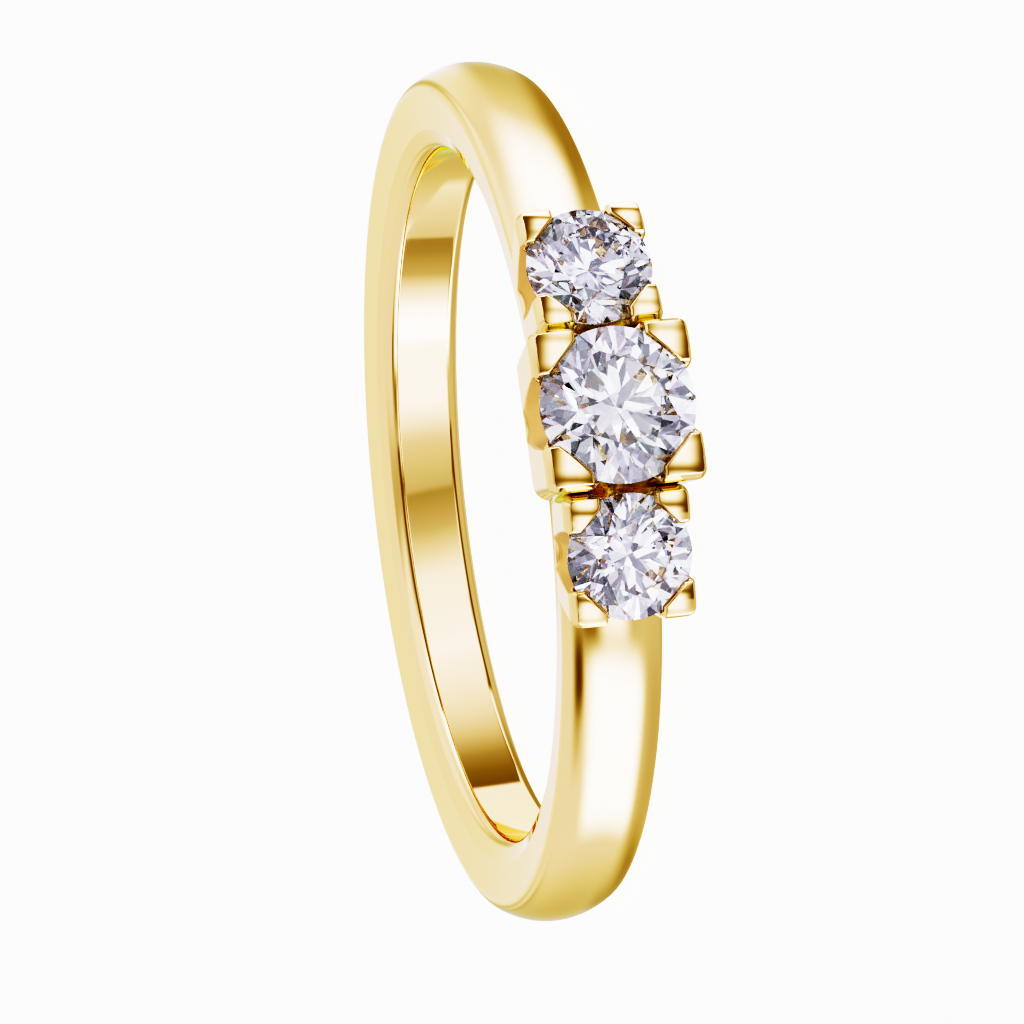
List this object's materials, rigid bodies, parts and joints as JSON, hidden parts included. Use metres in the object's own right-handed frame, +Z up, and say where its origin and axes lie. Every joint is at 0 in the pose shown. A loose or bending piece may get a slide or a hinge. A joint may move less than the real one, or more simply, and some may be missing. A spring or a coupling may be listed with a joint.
{
  "type": "diamond ring",
  "caption": "Low domed gold finger ring with a row of round brilliant diamonds, each in a square setting with corner claws.",
  "frame": {"origin": "the middle of the finger hole, on its axis and halfway across the band", "axes": "+Z up with the ring lying on its side as it rests on a floor, +X towards the head and its middle diamond, +Y towards the upper side diamond"},
  "size_m": [0.0237, 0.0212, 0.004],
  "materials": {
    "gold": "mirror-polished yellow gold",
    "diamond": "clear, polished facets"
  },
  "bodies": {
    "root": {"band_and_settings": "gold", "centre_diamond": "diamond", "upper_side_diamond": "diamond", "lower_side_diamond": "diamond"}
  },
  "joints": []
}
